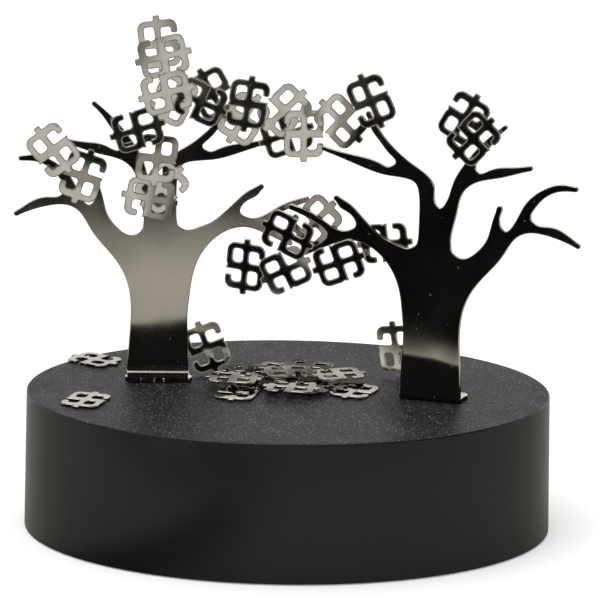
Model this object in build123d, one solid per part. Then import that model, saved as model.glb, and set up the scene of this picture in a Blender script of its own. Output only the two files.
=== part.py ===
from build123d import *
from math import radians, sin
import os

# A magnetic desk sculpture: an oval base with hidden magnets, two sheet-steel trees that stand
# on it, and loose steel signs that cling to the trees and to the base.
# X runs to the right along the base's long side, Y away from the front, Z up.
# The origin is on the desk, under the middle of the base. All sizes are in millimetres.

# Base
BASE_HALF_LENGTH = 65.0
BASE_HALF_DEPTH = 48.7
BASE_TOP = 35.1
BASE_DRAFT = 0.7            # how much wider the bottom is, all round
BASE_UNDERSIDE = 0.3        # the shell stops short of the desk, on its rubber pad
TOP_EDGE_RADIUS = 0.5
BOTTOM_EDGE_RADIUS = 0.3
SIDE_WALL = 2.7
TOP_WALL = 2.6

# Bottom cover, its screws and the rubber pad
COVER_THICKNESS = 2.0
COVER_GAP = 0.3
COVER_UNDERSIDE = 0.6
SCREW_X = 54.0
SCREW_Y = 12.0
BOSS_RADIUS = 3.5
SCREW_HOLE_RADIUS = 1.2
SCREW_HOLE_DEPTH = 12.0
SCREW_RADIUS = 1.15
SCREW_LENGTH = 10.0
SCREW_HEAD_RADIUS = 2.4
SCREW_HEAD_HEIGHT = 1.3
SCREW_CLEARANCE = 0.25      # between each screw's shank and the cover
HEAD_CLEARANCE = 0.1
DRIVE_LENGTH = 2.6          # the cross recess in each head
DRIVE_WIDTH = 0.5
DRIVE_DEPTH = 0.8
PAD_HALF_LENGTH = 46.0
PAD_HALF_DEPTH = 33.0
PAD_THICKNESS = 1.2
PAD_CHAMFER = 0.3

# Magnets, one under each tree and one under the pile
MAGNET_RADIUS = 12.0
MAGNET_THICKNESS = 6.0
MAGNET_RING_WALL = 1.8
MAGNET_RING_HEIGHT = 5.0
MAGNET_CHAMFER = 0.4
MAGNET_PLACES = {
    "magnet_left": (-32.0, 12.0),
    "magnet_centre": (0.0, 4.0),
    "magnet_right": (33.0, -3.0),
}

# Trees: one stamping, used twice
SHEET = 1.1
SHEET_EDGE_RADIUS = 0.2
BEND_INNER_RADIUS = 0.3
BEND_OUTER_RADIUS = SHEET + BEND_INNER_RADIUS
TRUNK_HALF_WIDTH = 7.8
ROOT_COUNT = 4
ROOT_PITCH = 4.1
ROOT_RADIUS = 2.2
ROOT_CENTRE = 5.0           # from the trunk's outer face
LEFT_TREE_PLACE = (-32.85, 10.4, 5.0)    # X, Y of the trunk's front face and its turn
LEFT_TREE_LEAN = 0.9        # it stands slightly out of true, on one edge of its foot
LEFT_TREE_RISE = -0.35      # the two were not bent at quite the same height
RIGHT_TREE_PLACE = (34.85, -9.6, -16.0)
RIGHT_TREE_RISE = 0.25

# Signs: one stamping, used for every loose piece
SIGN_SHEET = 0.6
SIGN_EDGE_CHAMFER = 0.1
SIGN_HALF_WIDTH = 4.9
SIGN_HALF_HEIGHT = 5.9
SIGN_CORNER = 2.1
MIDDLE_STROKE = 0.95        # half the width of the stroke across the middle
OPENING_BOTTOM = 0.97       # where the openings above that stroke begin
HOLE_LEFT, HOLE_RIGHT, HOLE_TOP, HOLE_CORNER = -3.35, -0.8, 4.37, 0.8
NOTCH_LEFT, NOTCH_RIGHT, NOTCH_TOP, NOTCH_CORNER = 0.8, 3.3, 4.02, 0.7
MOUTH_TOP = 2.39            # the notch opens to the side below this height
HOOK_END_RADIUS = 0.55
BAR_WIDTH = 1.6
BAR_LENGTH = 14.2
BAR_END_RADIUS = 0.4
BAR_ROOT_RADIUS = 0.35
GAP = 0.05                  # between pieces that only cling to each other
LAYER = SIGN_SHEET + GAP    # from one sign to the next in a stack

FACE_OUT = False            # which face of a sign is shown
FACE_IN = True

# Each sign on a tree: place across the sheet, height above the base's top, turn in degrees,
# the face shown, and its layer in the stack. Layer -1 is behind the sheet.
LEFT_TREE_SIGNS = {
    "left_crown_sign_1": (-1.5, 84.9, 8, FACE_OUT, 2),
    "left_crown_sign_2": (-0.4, 81.9, -76, FACE_OUT, 3),
    "left_crown_sign_3": (0.5, 73.0, -75, FACE_OUT, 4),
    "left_crown_sign_4": (2.2, 71.0, -25, FACE_OUT, 2),
    "left_inner_sign_1": (12.0, 72.5, 30, FACE_IN, 1),
    "left_inner_sign_2": (9.0, 70.7, 67, FACE_IN, 3),
    "left_twig_sign_1": (20.6, 70.6, -8, FACE_OUT, 5),
    "left_twig_sign_2": (19.7, 66.7, -32, FACE_OUT, 4),
    "left_tip_sign_1": (29.8, 68.8, -45, FACE_OUT, 3),
    "left_tip_sign_2": (34.7, 63.1, 1, FACE_IN, 4),
    "left_tip_sign_3": (30.5, 62.6, -70, FACE_OUT, 2),
    "left_outer_sign_1": (-27.0, 57.9, 38, FACE_OUT, 1),
    "left_outer_sign_2": (-19.6, 51.2, -18, FACE_OUT, 0),
    "left_fork_sign_1": (-6.4, 63.5, -73, FACE_OUT, 3),
    "left_fork_sign_2": (-1.4, 56.2, -6, FACE_IN, 2),
    "left_fork_sign_3": (-3.0, 45.9, -100, FACE_IN, 1),
    "left_fork_sign_4": (0.0, 48.8, -45, FACE_OUT, 0),
}
RIGHT_TREE_SIGNS = {
    "right_inner_sign_1": (-23.8, 68.9, 48, FACE_IN, 0),
    "right_inner_sign_2": (-16.1, 74.5, 25, FACE_OUT, 1),
    "right_crown_sign_1": (7.0, 71.6, -29, FACE_IN, 0),
    "right_crown_sign_2": (9.6, 67.1, -43, FACE_OUT, 1),
    "right_bough_sign_1": (-36.5, 39.8, 68, FACE_IN, 2),
    "right_bough_sign_2": (-47.7, 30.5, -5, FACE_OUT, 0),
    "right_bough_sign_3": (-37.1, 30.6, -62, FACE_IN, 1),
    "right_bough_sign_4": (-23.7, 33.4, -68, FACE_OUT, 0),
    "right_bough_sign_5": (-30.3, 43.0, -43, FACE_OUT, -1),
    "right_bough_sign_6": (-12.6, 38.9, -82, FACE_IN, -1),
}
# Each sign that stands on the base: X, Y, height of its middle, turn about Z, turn in its plane
STANDING_SIGNS = {
    "standing_sign_1": (-20.6, 13.8, 7.05, 4, 21, FACE_OUT),
    "standing_sign_2": (27.0, 13.8, 7.3, -32, 10, FACE_IN),
}
# Each sign that lies on the base: X, Y, turn about Z, the face shown, its layer in the pile
LYING_SIGNS = {
    "loose_sign_1": (-49.6, -13.4, -19, FACE_OUT, 0),
    "loose_sign_2": (-49.4, 24.6, 55, FACE_IN, 0),
    "pile_sign_01": (-12.5, -5.0, -14, FACE_OUT, 0),
    "pile_sign_02": (-13.6, 2.0, 82, FACE_IN, 3),
    "pile_sign_03": (-9.6, 10.8, 86, FACE_OUT, 2),
    "pile_sign_04": (-2.5, 15.6, 64, FACE_IN, 1),
    "pile_sign_05": (-6.9, 1.7, 70, FACE_OUT, 1),
    "pile_sign_06": (0.1, 6.6, -80, FACE_OUT, 4),
    "pile_sign_07": (0.7, -3.6, 80, FACE_IN, 2),
    "pile_sign_08": (4.9, 16.2, 70, FACE_OUT, 2),
    "pile_sign_09": (6.9, -0.9, -60, FACE_OUT, 1),
    "pile_sign_10": (12.5, 6.8, -74, FACE_OUT, 3),
    "pile_sign_11": (16.4, -1.6, -22, FACE_IN, 0),
    "pile_sign_12": (0.2, 5.0, 20, FACE_IN, 0),
}

# The tree's outline, seen from the side away from its foot. Each run follows the edge from
# one twig's end to the next, and each twig ends in a half circle between two runs.
OUTLINE_RUNS = [
    [(-7.7, BEND_OUTER_RADIUS), (-7.5, 9), (-7.2, 17.3), (-7.6, 21.5), (-8.2, 26.2), (-9.8, 31.1),
     (-12.7, 35.2), (-17.6, 38.4), (-21.1, 38.9), (-26, 37.4), (-32.1, 34.4)],
    [(-32.7, 35.5), (-28.2, 38.1), (-27, 39.9), (-29.2, 42.4), (-33, 44.2), (-36.5, 45.5)],
    [(-36.1, 46.8), (-31.4, 45.3), (-28, 43.4), (-24.8, 41.6), (-22, 41.3), (-19.8, 42.7),
     (-21.2, 45.5), (-24.1, 47.3), (-25.2, 48.7)],
    [(-24.4, 49.8), (-21.5, 48.1), (-18.6, 45.5), (-16, 42.9), (-13, 40.4), (-8.9, 38.6),
     (-6.2, 38.1), (-4.5, 39.1), (-3.9, 41.5), (-3.8, 46), (-4, 51.8), (-5, 54.5),
     (-7.6, 55.5), (-12.8, 56), (-18.9, 57.7), (-28.4, 60.9)],
    [(-28.1, 61.9), (-21.5, 60.5), (-13.8, 58.7), (-11.5, 58.1), (-10, 59.4), (-11.2, 60.9),
     (-14, 64.1), (-16.5, 67.5), (-17.6, 70.4)],
    [(-16.4, 71.1), (-14.1, 67), (-10.9, 63.2), (-6.6, 59.7), (-1.9, 56.5), (-0.2, 54.3),
     (0, 50.7), (1.4, 48.7), (2.7, 50.1), (4.6, 55.6), (7.3, 60.3), (11.8, 65.8), (16.7, 70.2)],
    [(17.5, 69.3), (15.4, 67.2), (11.5, 61.9), (10.1, 59.2), (10.6, 58.3), (13.8, 59.1),
     (18.7, 60.1), (23.4, 60.8)],
    [(23.7, 59.5), (16, 57.2), (9.6, 55.3), (7.3, 53.2), (5.6, 47.3), (4.3, 40.2), (5, 37.6),
     (7.6, 36.6), (10.6, 38.3), (13.2, 41.8), (14.8, 47.4), (15.5, 49.8)],
    [(17, 49.5), (16.4, 46.3), (17.9, 44.2), (19.6, 45.8), (22.5, 51.3), (27.7, 55.6),
     (32, 56.8), (34.9, 56.5)],
    [(34.9, 55.2), (31.2, 55), (27.6, 53.3), (25, 50.3), (24.1, 47.9), (24.9, 46.7),
     (29, 46.1), (33.6, 44.1), (36.2, 42.4)],
    [(35.6, 41.3), (31.5, 43), (26.9, 44.1), (23.4, 44.1), (21, 43), (17.4, 37.9), (11.9, 31.2),
     (9, 26.7), (7.6, 22.4), (7.1, 18), (7.4, 9), (7.7, BEND_OUTER_RADIUS)],
]


def ellipse_prism(half_length, half_depth, bottom, top):
    """An upright prism over an oval."""
    return Pos(0, 0, bottom) * extrude(Ellipse(half_length, half_depth), top - bottom)


def four_corners(x, y):
    return [(i * x, j * y) for i in (-1, 1) for j in (-1, 1)]


def base_shell():
    """The moulded body, open underneath, with screw bosses and a ring for each magnet."""
    low = Pos(0, 0, BASE_UNDERSIDE) * Ellipse(BASE_HALF_LENGTH + BASE_DRAFT,
                                              BASE_HALF_DEPTH + BASE_DRAFT)
    high = Pos(0, 0, BASE_TOP) * Ellipse(BASE_HALF_LENGTH, BASE_HALF_DEPTH)
    body = loft([low, high])
    body = fillet(body.edges().sort_by(Axis.Z)[-1], TOP_EDGE_RADIUS)
    body = fillet(body.edges().sort_by(Axis.Z)[0], BOTTOM_EDGE_RADIUS)
    ceiling = BASE_TOP - TOP_WALL
    body -= ellipse_prism(BASE_HALF_LENGTH - SIDE_WALL, BASE_HALF_DEPTH - SIDE_WALL, 0, ceiling)
    boss_end = COVER_UNDERSIDE + COVER_THICKNESS + GAP
    boss_length = ceiling + 1 - boss_end
    for x, y in four_corners(SCREW_X, SCREW_Y):
        body += Pos(x, y, boss_end + boss_length / 2) * Cylinder(BOSS_RADIUS, boss_length)
    for x, y in four_corners(SCREW_X, SCREW_Y):
        body -= Pos(x, y, boss_end + SCREW_HOLE_DEPTH / 2) * Cylinder(SCREW_HOLE_RADIUS,
                                                                      SCREW_HOLE_DEPTH)
    inner = MAGNET_RADIUS + GAP
    for x, y in MAGNET_PLACES.values():
        ring = Circle(inner + MAGNET_RING_WALL) - Circle(inner)
        body += Pos(x, y, ceiling - MAGNET_RING_HEIGHT) * extrude(ring, MAGNET_RING_HEIGHT + 1)
    return body


def base_cover():
    """The plate that closes the body from below, with countersinks and a recess for the pad."""
    top = COVER_UNDERSIDE + COVER_THICKNESS
    plate = ellipse_prism(BASE_HALF_LENGTH - SIDE_WALL - COVER_GAP,
                          BASE_HALF_DEPTH - SIDE_WALL - COVER_GAP, COVER_UNDERSIDE, top)
    clear = SCREW_RADIUS + SCREW_CLEARANCE
    for x, y in four_corners(SCREW_X, SCREW_Y):
        plate -= Pos(x, y, top) * Cylinder(clear, 4 * COVER_THICKNESS)
        plate -= Pos(x, y, COVER_UNDERSIDE + SCREW_HEAD_HEIGHT / 2) * Cone(
            SCREW_HEAD_RADIUS + HEAD_CLEARANCE, clear, SCREW_HEAD_HEIGHT)
    plate -= ellipse_prism(PAD_HALF_LENGTH + GAP, PAD_HALF_DEPTH + GAP, 0, PAD_THICKNESS + GAP)
    return plate


def cover_screws():
    """Four countersunk screws, heads flush with the cover."""
    screws = []
    for x, y in four_corners(SCREW_X, SCREW_Y):
        head = Cone(SCREW_HEAD_RADIUS, SCREW_RADIUS, SCREW_HEAD_HEIGHT)
        screw = Pos(x, y, COVER_UNDERSIDE + SCREW_HEAD_HEIGHT / 2) * head
        screw += Pos(x, y, COVER_UNDERSIDE + SCREW_LENGTH / 2) * Cylinder(SCREW_RADIUS, SCREW_LENGTH)
        slot = Box(DRIVE_LENGTH, DRIVE_WIDTH, DRIVE_DEPTH)
        slot += Box(DRIVE_WIDTH, DRIVE_LENGTH, DRIVE_DEPTH)
        screws.append(screw - Pos(x, y, COVER_UNDERSIDE) * slot)
    return Compound(screws)


def foot_pad():
    """The thin oval pad of foam rubber that the sculpture rests on, let into the cover."""
    pad = ellipse_prism(PAD_HALF_LENGTH, PAD_HALF_DEPTH, 0, PAD_THICKNESS)
    return chamfer(pad.edges().sort_by(Axis.Z)[0], PAD_CHAMFER)


def magnet(x, y):
    """A disc of ferrite, glued in its ring under the top."""
    disc = Cylinder(MAGNET_RADIUS, MAGNET_THICKNESS)
    disc = chamfer(disc.edges().filter_by(GeomType.CIRCLE), MAGNET_CHAMFER)
    return Pos(x, y, BASE_TOP - TOP_WALL - GAP - MAGNET_THICKNESS / 2) * disc


def tree_outline(rise):
    """The flat outline above the bend, as one face in the XY plane.

    Each run is a spline that leaves one twig's end along that twig and reaches the next in the
    same way, so the whole edge is smooth."""
    runs = []
    for run in OUTLINE_RUNS:
        runs.append([Vector(x, y + (rise if y > BEND_OUTER_RADIUS else 0)) for x, y in run])
    edges = [Edge.make_line(runs[-1][-1], runs[0][0])]
    outward = [Vector(0, -1)]
    for run, after in zip(runs, runs[1:]):
        across = (after[0] - run[-1]) / 2
        outward.append(Vector(-across.Y, across.X).normalized())
        end = run[-1] + across + outward[-1] * across.length
        edges.append(Edge.make_three_point_arc(run[-1], end, after[0]))
    outward.append(outward[0])
    for run, before, after in zip(runs, outward, outward[1:]):
        edges.append(Edge.make_spline(run, tangents=[-before, after], scale=False))
    return make_face(Wire(edges))


def tree_foot():
    """The bend and the flat foot with its row of rounded roots, under the sheet."""
    r_in, r_out = BEND_INNER_RADIUS, BEND_OUTER_RADIUS
    bend = Circle(r_out) - Circle(r_in)
    bend &= Pos(-r_out / 2, -r_out / 2) * Rectangle(r_out, r_out)
    section = Plane.YZ * (Pos(r_out, r_out) * bend)
    foot = extrude(section, TRUNK_HALF_WIDTH, both=True)
    roots = Pos(0, (r_out + ROOT_CENTRE) / 2) * Rectangle(2 * TRUNK_HALF_WIDTH, ROOT_CENTRE - r_out)
    for i in range(ROOT_COUNT):
        x = (i - (ROOT_COUNT - 1) / 2) * ROOT_PITCH
        roots += Pos(x, ROOT_CENTRE) * Circle(ROOT_RADIUS)
    return foot + extrude(roots, SHEET)


def tree(rise):
    """One tree: the sheet's outer face is on Y = 0 and its foot points to +Y."""
    sheet = extrude(tree_outline(rise), -SHEET)
    rims = sheet.edges().filter_by(GeomType.BSPLINE) + sheet.edges().filter_by(GeomType.CIRCLE)
    sheet = Rot(90, 0, 0) * fillet(rims, SHEET_EDGE_RADIUS)
    return sheet + tree_foot()


def left_frame():
    x, y, turn = LEFT_TREE_PLACE
    foot_half_width = (ROOT_COUNT - 1) / 2 * ROOT_PITCH + ROOT_RADIUS
    lift = GAP + foot_half_width * sin(radians(LEFT_TREE_LEAN))
    return Pos(x, y, BASE_TOP + lift) * Rot(0, 0, turn) * Rot(0, LEFT_TREE_LEAN, 0)


def right_frame():
    x, y, turn = RIGHT_TREE_PLACE
    return Pos(x, y, BASE_TOP + GAP) * Rot(0, 0, turn)


def left_tree():
    """The stamping turned about, so that its foot points to the front."""
    return left_frame() * Pos(0, SHEET, 0) * Rot(0, 0, 180) * tree(LEFT_TREE_RISE)


def right_tree():
    return right_frame() * tree(RIGHT_TREE_RISE)


def block(left, right, bottom, top, corner=0):
    """A flat rectangle between two corners, with rounded corners if asked."""
    width, height = right - left, top - bottom
    shape = RectangleRounded(width, height, corner) if corner else Rectangle(width, height)
    return Pos((left + right) / 2, (bottom + top) / 2) * shape


def half_sign():
    """The upper bowl, which the lower half repeats half a turn round."""
    return block(-SIGN_HALF_WIDTH, SIGN_HALF_WIDTH, -MIDDLE_STROKE, SIGN_HALF_HEIGHT, SIGN_CORNER)


def sign_openings():
    """The closed hole at the upper left and the notch at the upper right, under the hook."""
    hole = block(HOLE_LEFT, HOLE_RIGHT, OPENING_BOTTOM, HOLE_TOP, HOLE_CORNER)
    notch = block(NOTCH_LEFT, NOTCH_RIGHT, OPENING_BOTTOM, NOTCH_TOP, NOTCH_CORNER)
    mouth = block(NOTCH_RIGHT - NOTCH_CORNER, SIGN_HALF_WIDTH + 1, OPENING_BOTTOM, MOUTH_TOP)
    return hole + notch + mouth


def sign_face():
    """The dollar sign as one face, in the XY plane, centred."""
    turned = Rot(0, 0, 180)
    face = half_sign() + turned * half_sign()
    face -= sign_openings()
    face -= turned * sign_openings()
    face += RectangleRounded(BAR_WIDTH, BAR_LENGTH, BAR_END_RADIUS)
    hook_ends = [v for v in face.vertices()
                 if abs(v.X) > NOTCH_RIGHT - NOTCH_CORNER and abs(abs(v.Y) - MOUTH_TOP) < GAP]
    face = fillet(hook_ends, HOOK_END_RADIUS)
    roots = [v for v in face.vertices()
             if abs(v.X) < BAR_WIDTH and abs(abs(v.Y) - SIGN_HALF_HEIGHT) < GAP]
    return fillet(roots, BAR_ROOT_RADIUS)


def make_sign():
    """One stamping with its edges broken on both faces, its lower face on Z = 0."""
    sign = extrude(sign_face(), SIGN_SHEET)
    for end in (0, -1):
        sign = chamfer(sign.faces().sort_by(Axis.Z)[end].edges(), SIGN_EDGE_CHAMFER)
    return sign


SIGN = make_sign()


def facing(turned_over):
    """The sign in its own plane, turned over or not, with its lower face on Z = 0."""
    return Pos(0, 0, SIGN_SHEET) * Rot(0, 180, 0) * SIGN if turned_over else SIGN


def sign_on_tree(frame, x, z, turn, turned_over, layer):
    """A sign upright against a tree, in its layer before or behind the sheet."""
    if layer < 0:
        y = SHEET + GAP + SIGN_SHEET
    else:
        y = -(GAP + layer * LAYER)
    return frame * Pos(x, y, z) * Rot(90, 0, 0) * Rot(0, 0, turn) * facing(turned_over)


def standing_sign(x, y, height, yaw, turn, turned_over):
    upright = Rot(90, 0, 0) * Rot(0, 0, turn) * facing(turned_over)
    return Pos(x, y, BASE_TOP + height) * Rot(0, 0, yaw) * upright


def lying_sign(x, y, turn, turned_over, layer):
    return Pos(x, y, BASE_TOP + GAP + layer * LAYER) * Rot(0, 0, turn) * facing(turned_over)


def all_parts():
    parts = {
        "base_shell": base_shell(),
        "base_cover": base_cover(),
        "cover_screws": cover_screws(),
        "foot_pad": foot_pad(),
        "tree_left": left_tree(),
        "tree_right": right_tree(),
    }
    for name, (x, y) in MAGNET_PLACES.items():
        parts[name] = magnet(x, y)
    for name, place in LEFT_TREE_SIGNS.items():
        parts[name] = sign_on_tree(left_frame(), *place)
    for name, place in RIGHT_TREE_SIGNS.items():
        parts[name] = sign_on_tree(right_frame(), *place)
    for name, place in STANDING_SIGNS.items():
        parts[name] = standing_sign(*place)
    for name, place in LYING_SIGNS.items():
        parts[name] = lying_sign(*place)
    return parts


os.makedirs("parts", exist_ok=True)
for node, shape in all_parts().items():
    export_step(shape, f"parts/{node}.step")
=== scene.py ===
import math

import bpy
from mathutils import Matrix, Vector


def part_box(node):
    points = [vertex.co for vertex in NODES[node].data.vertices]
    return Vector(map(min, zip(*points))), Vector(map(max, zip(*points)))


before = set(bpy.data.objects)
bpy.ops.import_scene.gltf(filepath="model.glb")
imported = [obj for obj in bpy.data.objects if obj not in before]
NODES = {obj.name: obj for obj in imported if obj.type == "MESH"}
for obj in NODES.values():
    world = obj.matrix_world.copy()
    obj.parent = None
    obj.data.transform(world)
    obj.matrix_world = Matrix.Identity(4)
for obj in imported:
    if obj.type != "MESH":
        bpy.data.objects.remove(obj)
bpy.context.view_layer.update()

# Lengths are in metres. Up is +Z, and the camera stands on the -Y side, which is the front.
MM = 0.001
BASE_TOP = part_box("base_shell")[1].z


# --- Colours ------------------------------------------------------------------------------

def grey(value):
    return (value, value, value, 1.0)


NICKEL = (0.50, 0.475, 0.43, 1)
NICKEL_HAZED = (0.45, 0.4275, 0.387, 1)
NICKEL_DIRT = (0.26, 0.24, 0.20, 1)
TREE_NICKEL = (0.60, 0.575, 0.525, 1)
TREE_DUST = (0.42, 0.37, 0.30, 1)
# Painted light on the rims of the upright signs: a glowing highlight and a glowing shade
RIM_PAINTED_HIGHLIGHT = (0.30, 0.29, 0.26, 1)
RIM_PAINTED_SHADE = (0.14, 0.13, 0.11, 1)

# The two greys that each mottled finish runs between
PLASTIC_TOP = (grey(0.007), grey(0.017))
PLASTIC_SIDE = (grey(0.006), grey(0.009))
RUBBER = (grey(0.012), grey(0.022))
SCREW_STEEL = (grey(0.45), grey(0.6))
FERRITE = (grey(0.035), grey(0.06))
PLASTIC_FLECK = grey(0.22)
# Painted shade: the black plastic as the metal mirrors it, darker than the camera sees it
PLASTIC_SHADE_IN_MIRRORS = grey(0.008)

FLOOR_WHITE = grey(0.93)
FLOOR_DARK = grey(0.004)
FLOOR_BRIGHT = (0.46, 0.445, 0.41, 1)
FLOOR_BAND = (0.50, 0.48, 0.43, 1)
WORLD_WHITE = (1.0, 0.99, 0.97, 1)


# --- Trees and signs ----------------------------------------------------------------------

# Each tree: how far its reflection is tipped back, in degrees, and where its noise starts
TREES = {"tree_left": (0.0, 11.0), "tree_right": (0.4, 23.0)}

# How far each upright sign's reflection is tipped back, in degrees. A sign that leans back by a
# few degrees mirrors the bright room, and an upright one mirrors the dark floor before it.
LIGHT = 7.5
DARK = 0.0
SIGN_TIPS = {
    "left_crown_sign_1": 7.2,
    "left_crown_sign_2": 7.4,
    "left_crown_sign_3": LIGHT,
    "left_crown_sign_4": 6.0,
    "left_twig_sign_2": LIGHT,
    "left_tip_sign_1": LIGHT,
    "left_tip_sign_2": 7.2,
    "left_outer_sign_1": LIGHT,
    "left_outer_sign_2": 4.0,
    "left_fork_sign_2": 4.2,
    "left_fork_sign_3": 5.6,
    "left_fork_sign_4": LIGHT,
    "right_inner_sign_1": 4.2,
    "right_bough_sign_3": 2.2,
    "right_bough_sign_5": 5.9,
    "standing_sign_2": 7.9,
}
# A few signs are bowed, and shade from light to dark: the degrees that each one's tip gains from
# its middle to BEND_REACH right of it, and to BEND_REACH above it
BEND_REACH = 5.0 * MM
SIGN_BENDS = {
    "left_crown_sign_1": (0.8, 0.8),
    "left_crown_sign_2": (-1.5, 0.5),
    "left_outer_sign_2": (-1.0, -3.0),
    "left_fork_sign_2": (1.0, -3.5),
    "left_fork_sign_3": (-2.0, 0.5),
    "right_inner_sign_1": (-4.0, 1.0),
    "right_bough_sign_3": (1.5, 2.5),
    "standing_sign_1": (0.0, 2.5),
    "standing_sign_2": (-1.0, -2.0),
}
# The lying signs rest on one another at odd angles: each one's reflection is tipped this far
# towards the front, in degrees, and mirrors the bright backdrop or the dark above it.
LYING_TIPS = {
    "loose_sign_1": 1.0,
    "loose_sign_2": 0.0,
    "pile_sign_01": 2.0,
    "pile_sign_02": 6.0,
    "pile_sign_03": 9.5,
    "pile_sign_04": 8.5,
    "pile_sign_05": 12.0,
    "pile_sign_06": 9.0,
    "pile_sign_07": 6.0,
    "pile_sign_08": 9.5,
    "pile_sign_09": 8.0,
    "pile_sign_10": 5.0,
    "pile_sign_11": 3.5,
    "pile_sign_12": 13.0,
}
# Where one sign's noise starts after the one before it
SEED_STEP = 3.7

# How uneven each kind of sheet is, as a slope
TREE_WAVES = 0.02
UPRIGHT_WAVES = 0.05
LYING_WAVES = 0.16

# Painted light on the rims of an upright sign: a glowing painted highlight if its tip is below
# DARK_BELOW, so that it mirrors the dark floor, and else a painted shade.
DARK_BELOW = 4.0
PAINTED_RIM_REACH = 0.45 * MM
PAINTED_RIM_SHARE = 0.8

# A face within about 2 degrees of the sheet's own direction, or of level, is flat.
FLAT = 0.9995


# --- Floor, room, light and camera --------------------------------------------------------

# What the metal mirrors of the floor. Each pair is a soft border: the two places it fades between,
# in x for a left or right border and in y for a front or back one.
STRIP_LEFT = (-0.045, -0.005)
STRIP_FRONT = (-0.37, -0.22)
NEAR_FRONT = (-0.175, -0.150)
GAP_SIDES = (0.045, 0.065)
GAP_FRONT = (-0.145, -0.130)
FAR_BACK = (-0.75, -0.55)
BAND_LEFT = (-0.095, -0.080)
BAND_RIGHT = (-0.035, -0.020)
BAND_FRONT = (-0.190, -0.152)
BAND_BACK = (-0.135, -0.125)
FLOOR_HALF = 6.0
FLOOR_GLOW = 0.20

# What the metal mirrors of the room. The first three are soft borders in the sine of the height
# above the horizon, and the fourth is where the front of the room gives way to the back.
FRONT_DARK = (0.06, 0.16)
BACK_DARK = (0.36, 0.62)
OVERHEAD = (0.80, 0.92)
FRONT_TO_BACK = (-0.25, 0.15)
BACK_REMAINS = 0.03
ROOM_LEVEL = 0.95
ROOM_DARKEST = 0.015

# One square lamp, high up at the front left
SOFTBOX_PLACE = (-0.5, -0.3, 1.3)
SOFTBOX_AIM = (0, 0, 0.05)
SOFTBOX_SIDE = 1.2
SOFTBOX_WATTS = 6.0

# The camera looks down by CAMERA_DEGREES. Its roll is in radians, its lens and sensor are in
# millimetres, and its shift is in parts of the sensor's width.
CAMERA_DEGREES = 15.5
CAMERA_DISTANCE = 1.0
CAMERA_ROLL = 0.014
CAMERA_LENS = 241.2
CAMERA_SENSOR = 36.0
CAMERA_SHIFT = (0.0196, 0.153)
CAMERA_REACH = 50
AIM_BELOW_TOP = 0.54 * MM


# --- Node helpers -------------------------------------------------------------------------

class Nodes:
    """Makes and links the shader nodes of a material or a world."""

    def __init__(self, owner, output="OutputMaterial"):
        owner.use_nodes = True
        self.owner = owner
        self.tree = owner.node_tree
        self.tree.nodes.clear()
        self.out = self.add(output)

    def add(self, kind, inputs=None, **settings):
        node = self.tree.nodes.new("ShaderNode" + kind)
        for key, value in settings.items():
            setattr(node, key, value)
        for key, value in (inputs or {}).items():
            self.put(node.inputs[key], value)
        return node

    def put(self, socket, value):
        if isinstance(value, bpy.types.NodeSocket):
            self.tree.links.new(value, socket)
        elif isinstance(value, bpy.types.Node):
            self.tree.links.new(value.outputs[0], socket)
        else:
            socket.default_value = value

    def finish(self, shader):
        self.put(self.out.inputs["Surface"], shader)
        return self.owner

    def maths(self, operation, a, b=0.0, clamp=False):
        node = self.add("Math", {0: a, 1: b}, operation=operation, use_clamp=clamp)
        return node.outputs[0]

    def product(self, first, *others):
        for other in others:
            first = self.maths("MULTIPLY", first, other)
        return first

    def vector(self, operation, a, b=(0, 0, 0)):
        node = self.add("VectorMath", {0: a, 1: b}, operation=operation)
        return node.outputs["Value" if operation == "DOT_PRODUCT" else "Vector"]

    def xyz(self, vector):
        return self.add("SeparateXYZ", {0: vector}).outputs

    def place(self):
        return self.add("TexCoord").outputs["Object"]

    def ramp(self, value, low, high, start=0.0, end=1.0, shape="SMOOTHSTEP"):
        """Goes from start to end while the value goes from low to high."""
        node = self.add("MapRange", {"Value": value, "From Min": low, "From Max": high,
                                     "To Min": start, "To Max": end}, interpolation_type=shape)
        return node.outputs[0]

    def fall(self, value, low, high):
        return self.ramp(value, low, high, 1.0, 0.0)

    def mix(self, share, a, b):
        node = self.add("Mix", {0: share}, data_type="RGBA")
        self.put(node.inputs[6], a)
        self.put(node.inputs[7], b)
        return node.outputs[2]

    def mix_values(self, share, a, b):
        return self.add("Mix", {0: share, 2: a, 3: b}, data_type="FLOAT").outputs[0]

    def noise(self, where, scale, detail=2.0, rough=0.5, offset=0.0):
        moved = self.vector("ADD", where, (offset, offset * 0.7, offset * 1.3))
        return self.add("TexNoise", {"Vector": moved, "Scale": scale, "Detail": detail,
                                     "Roughness": rough}).outputs["Fac"]

    def streaks(self, where, scales, detail):
        """Noise that is stretched along the axes with the small scales."""
        drawn_out = self.vector("MULTIPLY", where, scales)
        return self.add("TexNoise", {"Vector": drawn_out, "Scale": 1.0, "Detail": detail}).outputs["Fac"]

    def bump(self, height, strength, distance, normal=None):
        node = self.add("Bump", {"Height": height, "Strength": strength, "Distance": distance})
        if normal is not None:
            self.put(node.inputs["Normal"], normal)
        return node.outputs[0]

    def mirrored(self):
        """One where a ray comes off a mirror, and zero elsewhere."""
        return self.add("LightPath").outputs["Is Glossy Ray"]


def assign(obj, material):
    obj.data.materials.clear()
    obj.data.materials.append(material)


# --- Materials ----------------------------------------------------------------------------

def sheet_normal(n, side):
    """The smooth normal on the rims and bends, and the exact one on the flat faces."""
    geometry = n.add("NewGeometry")
    exact = geometry.outputs["True Normal"]
    across = n.maths("ABSOLUTE", n.vector("DOT_PRODUCT", exact, side))
    level = n.maths("ABSOLUTE", n.xyz(exact)[2])
    flat = n.maths("GREATER_THAN", n.maths("MAXIMUM", across, level), FLAT)
    return n.mix(flat, geometry.outputs["Normal"], exact)


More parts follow.
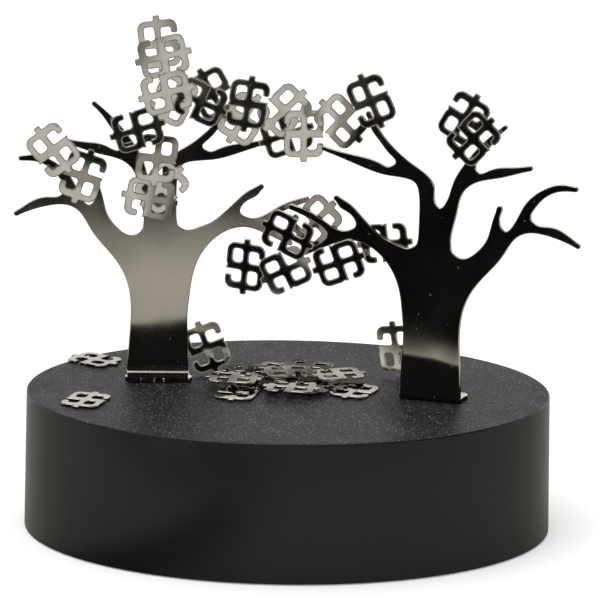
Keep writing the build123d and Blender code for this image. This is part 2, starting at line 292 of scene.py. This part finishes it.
def rim_mask_for_painted_light(n, reach):
    """One along the rims of a piece, and zero inside: where the painted rim highlight and painted rim
    shade go.
    """
    depth = n.add("AmbientOcclusion", {"Distance": reach}, inside=True, only_local=True, samples=8)
    return n.fall(depth.outputs["AO"], 0.6, 1.0)


def tipped_normal(n, side, degrees, waviness, seed, lying=False, bend=None):
    """The surface normal, tipped by a few degrees, with a faint wave.

    An upright sheet is tipped back, so upwards, and a lying one to the front. Only the broad
    faces are tipped: rims keep their own direction. A bend is a middle, and the degrees gained
    from there to the right and to the top."""
    true = sheet_normal(n, side)
    where = n.place()
    steep = n.maths("ABSOLUTE", n.xyz(true)[2])
    broad = n.ramp(steep, 0.90, 0.98) if lying else n.fall(steep, 0.25, 0.5)
    slope = math.radians(degrees)
    if bend:
        middle, right, top = bend
        apart = n.vector("SUBTRACT", where, middle)
        gain = (math.radians(right) / BEND_REACH, 0, math.radians(top) / BEND_REACH)
        slope = n.maths("ADD", n.vector("DOT_PRODUCT", apart, gain), slope)
    wave = n.maths("SUBTRACT", n.noise(where, scale=95, detail=1, offset=seed), 0.5)
    sway = n.maths("SUBTRACT", n.noise(where, scale=80, detail=1, offset=seed + 9), 0.5)
    tip = n.maths("ADD", n.product(broad, slope), n.product(wave, waviness))
    sway = n.product(sway, waviness)
    if lying:
        shift = n.add("CombineXYZ", {0: sway, 1: n.product(tip, -1.0)})
    else:
        shift = n.add("CombineXYZ", {0: sway, 2: tip})
    return n.vector("NORMALIZE", n.vector("ADD", true, shift))


def plated(name, side, degrees, seed, lying, bend):
    """Warm nickel plate on a tumbled stamping: a mirror with a soft haze and fine marks, and on an
    upright sign a painted highlight or painted shade along the rims.
    """
    n = Nodes(bpy.data.materials.new(name))
    where = n.place()
    haze = n.noise(where, scale=260, detail=3, rough=0.6, offset=seed)
    dirt = n.ramp(n.noise(where, scale=1400, rough=0.6, offset=seed + 3), 0.66, 0.78)
    rough = n.ramp(haze, 0.3, 0.7, start=0.06, end=0.13, shape="LINEAR")
    rough = n.maths("ADD", rough, n.product(dirt, 0.15))
    tint = n.mix(n.ramp(haze, 0.3, 0.75), NICKEL, NICKEL_HAZED)
    tint = n.mix(n.product(dirt, 0.35), tint, NICKEL_DIRT)
    normal = tipped_normal(n, side, degrees, LYING_WAVES if lying else UPRIGHT_WAVES, seed, lying, bend)
    scratches = n.streaks(where, scales=(3000, 3000, 300), detail=2)
    normal = n.bump(scratches, strength=0.05, distance=0.02 * MM, normal=normal)
    shader = n.add("BsdfPrincipled", {"Base Color": tint, "Metallic": 1.0, "Roughness": rough,
                                      "Normal": normal})
    # Painted light: a glowing colour along the rims stands in for their highlight on a dark sign and
    # their shade on a light one.
    if not lying:
        edge = n.add("Emission", {"Color": RIM_PAINTED_HIGHLIGHT if degrees < DARK_BELOW else RIM_PAINTED_SHADE})
        share = n.product(rim_mask_for_painted_light(n, PAINTED_RIM_REACH), PAINTED_RIM_SHARE)
        shader = n.add("MixShader", {0: share, 1: shader, 2: edge})
    return n.finish(shader)


def dust_specks(n, where):
    """Round specks of many sizes, most of them tiny."""
    cell = n.add("TexVoronoi", {"Vector": where, "Scale": 900.0}, feature="F1")
    chance = n.add("TexWhiteNoise", {"Vector": cell.outputs["Position"]}, noise_dimensions="3D")
    reach = n.product(n.maths("POWER", chance.outputs[0], 9.0), 0.26)
    return n.fall(n.maths("SUBTRACT", cell.outputs["Distance"], reach), -0.03, 0.0)


def hairlines(n, where, seed):
    """Hairline scratches, in patches."""
    marks = n.streaks(where, scales=(420, 60, 150), detail=5)
    hair = n.fall(n.maths("ABSOLUTE", n.maths("SUBTRACT", marks, 0.5)), 0.0, 0.006)
    patch = n.ramp(n.noise(where, scale=45, offset=seed + 5), 0.56, 0.66)
    return n.product(hair, n.product(patch, 0.35))


def tree_steel(name, side, degrees, seed):
    """The trees' plate: a mirror with dust specks and hairline scratches."""
    n = Nodes(bpy.data.materials.new(name))
    where = n.place()
    hair = hairlines(n, where, seed)
    haze = n.noise(where, scale=60, detail=4, rough=0.6, offset=seed)
    rough = n.ramp(haze, 0.3, 0.7, start=0.05, end=0.11, shape="LINEAR")
    normal = tipped_normal(n, side, degrees, TREE_WAVES, seed)
    normal = n.bump(hair, strength=0.2, distance=0.04 * MM, normal=normal)
    metal = n.add("BsdfPrincipled", {"Base Color": TREE_NICKEL, "Metallic": 1.0,
                                     "Roughness": rough, "Normal": normal})
    dusty = n.add("BsdfDiffuse", {"Color": TREE_DUST})
    cover = n.maths("ADD", n.product(dust_specks(n, where), 0.30), n.product(hair, 0.35), clamp=True)
    return n.finish(n.add("MixShader", {0: cover, 1: metal, 2: dusty}))


def black_plastic(name):
    """Moulded black plastic: a fine sparkling grain on the top, a smooth satin side, and a painted shade
    where the metal mirrors it.
    """
    n = Nodes(bpy.data.materials.new(name))
    where = n.place()
    top = n.ramp(n.xyz(n.add("NewGeometry").outputs["Normal"])[2], 0.80, 0.97)
    grain = n.noise(where, scale=1500, rough=0.7)
    coarse = n.noise(where, scale=500, rough=0.6, offset=2)
    fleck = n.ramp(n.noise(where, scale=1900, detail=1, offset=7), 0.62, 0.74)
    smear = n.noise(where, scale=70, detail=4, rough=0.6, offset=4)
    upper = n.mix(n.ramp(coarse, 0.35, 0.65), *PLASTIC_TOP)
    upper = n.mix(fleck, upper, PLASTIC_FLECK)
    colour = n.mix(top, n.mix(n.noise(where, scale=30), *PLASTIC_SIDE), upper)
    rough = n.ramp(top, 0.0, 1.0, start=0.27, end=0.50, shape="LINEAR")
    rough = n.maths("ADD", rough, n.product(n.maths("SUBTRACT", smear, 0.5), 0.12))
    normal = n.bump(n.product(grain, top), strength=0.55, distance=0.12 * MM)
    normal = n.bump(smear, strength=0.03, distance=0.3 * MM, normal=normal)
    shader = n.add("BsdfPrincipled", {"Base Color": colour, "Roughness": rough, "Normal": normal,
                                      "Specular IOR Level": 0.37})
    # Painted shade: rays that come off the metal see this darker flat black instead of the plastic.
    shade = n.add("BsdfDiffuse", {"Color": PLASTIC_SHADE_IN_MIRRORS})
    return n.finish(n.add("MixShader", {0: n.mirrored(), 1: shader, 2: shade}))


def plain(name, colours, scale, rough, metallic=0.0):
    """A quiet mottled finish for the pieces that are seldom seen."""
    n = Nodes(bpy.data.materials.new(name))
    mottle = n.noise(n.place(), scale, detail=4, rough=0.6)
    return n.finish(n.add("BsdfPrincipled", {
        "Base Color": n.mix(n.ramp(mottle, 0.3, 0.7), *colours),
        "Roughness": rough,
        "Metallic": metallic,
        "Normal": n.bump(mottle, strength=0.3, distance=0.1 * MM),
    }))


# --- The pieces ---------------------------------------------------------------------------

def join_facets(obj):
    """Joins the split vertices of the imported mesh, so that curved walls shade smoothly."""
    weld = obj.modifiers.new("weld", "WELD")
    weld.merge_threshold = 0.001 * MM


def broad_side(obj):
    """The direction in which the broad face of a sheet piece looks."""
    widest = max(obj.data.polygons, key=lambda face: face.area)
    return tuple((obj.matrix_world.to_3x3() @ widest.normal).normalized())


def dress_base():
    plastic = black_plastic("black_plastic")
    ferrite = plain("ferrite", FERRITE, scale=700, rough=0.55)
    assign(NODES["base_shell"], plastic)
    assign(NODES["base_cover"], plastic)
    assign(NODES["foot_pad"], plain("rubber", RUBBER, scale=400, rough=0.8))
    assign(NODES["cover_screws"], plain("screw_steel", SCREW_STEEL, scale=900, rough=0.3, metallic=1.0))
    for name in ("magnet_left", "magnet_centre", "magnet_right"):
        assign(NODES[name], ferrite)


def dress_trees():
    for name, (tip, seed) in TREES.items():
        assign(NODES[name], tree_steel("steel_" + name, broad_side(NODES[name]), tip, seed))


def sign_bend(name):
    if name not in SIGN_BENDS:
        return None
    low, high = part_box(name)
    return (tuple((low + high) / 2), *SIGN_BENDS[name])


def dress_signs():
    signs = sorted(name for name in NODES if "_sign" in name)
    for i, name in enumerate(signs):
        lying = name in LYING_TIPS
        tip = LYING_TIPS[name] if lying else SIGN_TIPS.get(name, DARK)
        side = broad_side(NODES[name])
        assign(NODES[name], plated("nickel_" + name, side, tip, SEED_STEP * i, lying, sign_bend(name)))


# --- Stage --------------------------------------------------------------------------------

def mirrored_floor(n):
    """The floor as the metal mirrors it. It is dark, but bright far out in front, in a strip that
    begins before the left tree, and near the base apart from a gap before its middle. The band
    shows as the glow low on the right trunk."""
    x, y, _ = n.xyz(n.add("NewGeometry").outputs["Position"])
    strip = n.product(n.ramp(x, *STRIP_LEFT), n.ramp(y, *STRIP_FRONT))
    gap = n.product(n.fall(n.maths("ABSOLUTE", x), *GAP_SIDES), n.ramp(y, *GAP_FRONT))
    near = n.product(n.ramp(y, *NEAR_FRONT), n.maths("SUBTRACT", 1.0, gap))
    lit = n.maths("MAXIMUM", n.maths("MAXIMUM", strip, near), n.fall(y, *FAR_BACK))
    band = n.product(n.ramp(x, *BAND_LEFT), n.fall(x, *BAND_RIGHT),
                     n.ramp(y, *BAND_FRONT), n.fall(y, *BAND_BACK))
    return n.mix(band, n.mix(lit, FLOOR_DARK, FLOOR_BRIGHT), FLOOR_BAND)


def floor_material():
    """A plain white floor, with a little glow that only the camera sees."""
    n = Nodes(bpy.data.materials.new("floor_white"))
    colour = n.mix(n.mirrored(), FLOOR_WHITE, mirrored_floor(n))
    glow = n.product(n.add("LightPath").outputs["Is Camera Ray"], FLOOR_GLOW)
    lift = n.add("Emission", {"Color": grey(1.0), "Strength": glow})
    return n.finish(n.add("AddShader", {0: n.add("BsdfDiffuse", {"Color": colour}), 1: lift}))


def make_floor():
    mesh = bpy.data.meshes.new("floor")
    corners = [(x * FLOOR_HALF, y * FLOOR_HALF, 0) for x, y in ((-1, -1), (1, -1), (1, 1), (-1, 1))]
    mesh.from_pydata(corners, [], [(0, 1, 2, 3)])
    floor = bpy.data.objects.new("floor", mesh)
    bpy.context.scene.collection.objects.link(floor)
    assign(floor, floor_material())


def make_world():
    """An even white room for soft light. Mirrored in the sculpture it is bright at the horizon,
    dark above that on the camera's side and higher up behind, and bright again overhead."""
    world = bpy.data.worlds.new("studio")
    bpy.context.scene.world = world
    n = Nodes(world, "OutputWorld")
    _, depth, rise = n.xyz(n.add("TexCoord").outputs["Generated"])
    front = n.fall(rise, *FRONT_DARK)
    back = n.ramp(rise, *BACK_DARK, start=1.0, end=BACK_REMAINS)
    room = n.mix_values(n.ramp(depth, *FRONT_TO_BACK), front, back)
    room = n.maths("MAXIMUM", room, n.ramp(rise, *OVERHEAD))
    room = n.maths("MAXIMUM", n.product(room, ROOM_LEVEL), ROOM_DARKEST)
    level = n.mix_values(n.mirrored(), ROOM_LEVEL, room)
    n.finish(n.add("Background", {"Color": WORLD_WHITE, "Strength": level}))


def make_softbox():
    data = bpy.data.lights.new("softbox", "AREA")
    data.shape = "RECTANGLE"
    data.size = SOFTBOX_SIDE
    data.size_y = SOFTBOX_SIDE
    data.energy = SOFTBOX_WATTS
    light = bpy.data.objects.new("softbox", data)
    light.location = SOFTBOX_PLACE
    way = Vector(SOFTBOX_AIM) - Vector(SOFTBOX_PLACE)
    light.rotation_euler = way.to_track_quat("-Z", "Y").to_euler()
    bpy.context.scene.collection.objects.link(light)


def make_camera():
    """Above the front by the viewing angle, a long way off, with a slight roll."""
    data = bpy.data.cameras.new("camera")
    data.lens = CAMERA_LENS
    data.sensor_width = CAMERA_SENSOR
    data.shift_x, data.shift_y = CAMERA_SHIFT
    data.clip_end = CAMERA_REACH
    camera = bpy.data.objects.new("camera", data)
    elevation = math.radians(CAMERA_DEGREES)
    aim = Vector((0, 0, BASE_TOP - AIM_BELOW_TOP))
    place = aim + CAMERA_DISTANCE * Vector((0, -math.cos(elevation), math.sin(elevation)))
    turn = (aim - place).to_track_quat("-Z", "Y").to_matrix().to_4x4()
    roll = Matrix.Rotation(CAMERA_ROLL, 4, "Z")
    camera.matrix_world = Matrix.Translation(place) @ turn @ roll
    bpy.context.scene.collection.objects.link(camera)
    bpy.context.scene.camera = camera


def set_view():
    scene = bpy.context.scene
    scene.view_settings.view_transform = "Standard"
    scene.cycles.max_bounces = 10
    scene.cycles.glossy_bounces = 8


dress_base()
dress_trees()
dress_signs()
for obj in NODES.values():
    join_facets(obj)
make_floor()
make_world()
make_softbox()
make_camera()
set_view()
